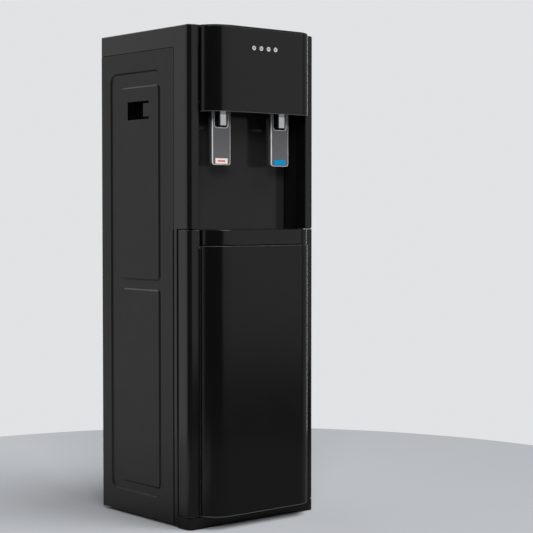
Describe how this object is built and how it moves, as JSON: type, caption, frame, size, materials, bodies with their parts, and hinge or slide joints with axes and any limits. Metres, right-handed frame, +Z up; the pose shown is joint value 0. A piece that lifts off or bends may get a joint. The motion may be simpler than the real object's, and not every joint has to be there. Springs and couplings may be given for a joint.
{
  "type": "water dispenser",
  "caption": "Tall free-standing hot and cold water dispenser with bulged head and door, push-lever taps over a drip tray, filters behind the hinged door and a rear condenser.",
  "frame": {"origin": "centre of the bounding box's bottom face, on the floor", "axes": "+Z up, -Y out of the front with the taps, +X to the right of someone facing the front"},
  "size_m": [0.33, 0.3446, 1],
  "materials": {
    "frame_black": "satin",
    "front_black": "gloss",
    "splash_black": "gloss",
    "side_steel": "fine textured satin",
    "zinc_sheet": "zinc plated",
    "chrome_trim": "bright",
    "lever_grey": "satin",
    "hot_mark": "gloss",
    "cold_mark": "gloss",
    "lamp_grey": "satin",
    "lamp_smoke": "gloss",
    "rubber_black": "matte",
    "grille_dark": "satin",
    "pin_steel": "ground",
    "tank_steel": "brushed",
    "foam_white": "matte",
    "jacket_grey": "matte",
    "heater_brown": "dull",
    "machine_black": "semi gloss",
    "pipe_white": "satin",
    "filter_white": "gloss",
    "fitting_grey": "satin",
    "board_green": "satin",
    "switch_red": "gloss",
    "switch_green": "gloss",
    "magnet_dark": "matte"
  },
  "bodies": {
    "cabinet": {"base_pan": "zinc_sheet", "catch_plate": "zinc_sheet", "cold_pipe": "pipe_white", "cold_tank": "tank_steel", "cold_tank_insulation": "foam_white", "cold_tank_lid": "foam_white", "cold_tap": "chrome_trim", "compressor": "machine_black", "compressor_mounts": "rubber_black", "condenser_tube": "machine_black", "condenser_wires": "machine_black", "control_board": "board_green", "drain_caps": "fitting_grey", "fascia": "front_black", "feed_pipe": "pipe_white", "feet": "rubber_black", "filter_head": "fitting_grey", "heater_band": "heater_brown", "hot_pipe": "pipe_white", "hot_tank": "tank_steel", "hot_tank_jacket": "jacket_grey", "hot_tap": "chrome_trim", "inlet_fitting": "fitting_grey", "inlet_pipe": "pipe_white", "inner_partition": "zinc_sheet", "lamp_lenses": "lamp_smoke", "lamp_rings": "lamp_grey", "left_side_panel": "side_steel", "left_stile": "frame_black", "lever_pins": "pin_steel", "lower_hinge_pin": "pin_steel", "niche_housing": "frame_black", "plinth": "frame_black", "power_inlet": "frame_black", "rear_panel": "zinc_sheet", "rear_screws": "pin_steel", "right_side_panel": "side_steel", "right_stile": "frame_black", "splash_panel": "splash_black", "switch_housings": "frame_black", "tank_shelf": "zinc_sheet", "tap_nuts": "pipe_white", "top_cover": "frame_black"},
    "door": {"door_frame": "frame_black", "door_panel": "front_black", "door_liner": "frame_black", "upper_hinge_pin": "pin_steel", "door_magnet": "magnet_dark"},
    "hot_lever_body": {"hot_lever": "chrome_trim", "hot_lever_face": "lever_grey", "hot_marker": "hot_mark"},
    "cold_lever_body": {"cold_lever": "chrome_trim", "cold_lever_face": "lever_grey", "cold_marker": "cold_mark"},
    "tray": {"drip_tray": "front_black"},
    "grille": {"drip_grille": "grille_dark"},
    "sediment_cartridge": {"sediment_filter": "filter_white"},
    "carbon_cartridge": {"carbon_filter": "filter_white"},
    "hot_rocker": {"hot_switch": "switch_red"},
    "cold_rocker": {"cold_switch": "switch_green"}
  },
  "joints": [
    {"name": "door_hinge", "type": "hinge", "parent": "cabinet", "child": "door", "pos_m": [0.159, -0.10125, 0.31], "axis": [0, 0, 1], "range_deg": [0, 100]},
    {"name": "hot_lever_pivot", "type": "hinge", "parent": "cabinet", "child": "hot_lever_body", "pos_m": [-0.077, -0.12025, 0.838], "axis": [1, 0, 0], "range_deg": [0, 12], "stiffness_Nm_per_rad": 0.6},
    {"name": "cold_lever_pivot", "type": "hinge", "parent": "cabinet", "child": "cold_lever_body", "pos_m": [0.077, -0.12025, 0.838], "axis": [1, 0, 0], "range_deg": [0, 12], "stiffness_Nm_per_rad": 0.6},
    {"name": "tray_slide", "type": "slide", "parent": "cabinet", "child": "tray", "axis": [0, -1, 0], "range_m": [0, 0.09]},
    {"name": "grille_lift", "type": "slide", "parent": "tray", "child": "grille", "axis": [0, 0, 1], "range_m": [0, 0.06]},
    {"name": "sediment_turn", "type": "hinge", "parent": "cabinet", "child": "sediment_cartridge", "pos_m": [-0.048, 0.003, 0.4], "axis": [0, 0, 1], "range_deg": [0, 90]},
    {"name": "carbon_turn", "type": "hinge", "parent": "cabinet", "child": "carbon_cartridge", "pos_m": [0.048, 0.003, 0.4], "axis": [0, 0, 1], "range_deg": [0, 90]},
    {"name": "hot_switch_rock", "type": "hinge", "parent": "cabinet", "child": "hot_rocker", "pos_m": [-0.128, 0.15665, 0.13], "axis": [-1, 0, 0], "range_deg": [0, 18]},
    {"name": "cold_switch_rock", "type": "hinge", "parent": "cabinet", "child": "cold_rocker", "pos_m": [-0.1, 0.15665, 0.13], "axis": [-1, 0, 0], "range_deg": [0, 18]}
  ]
}
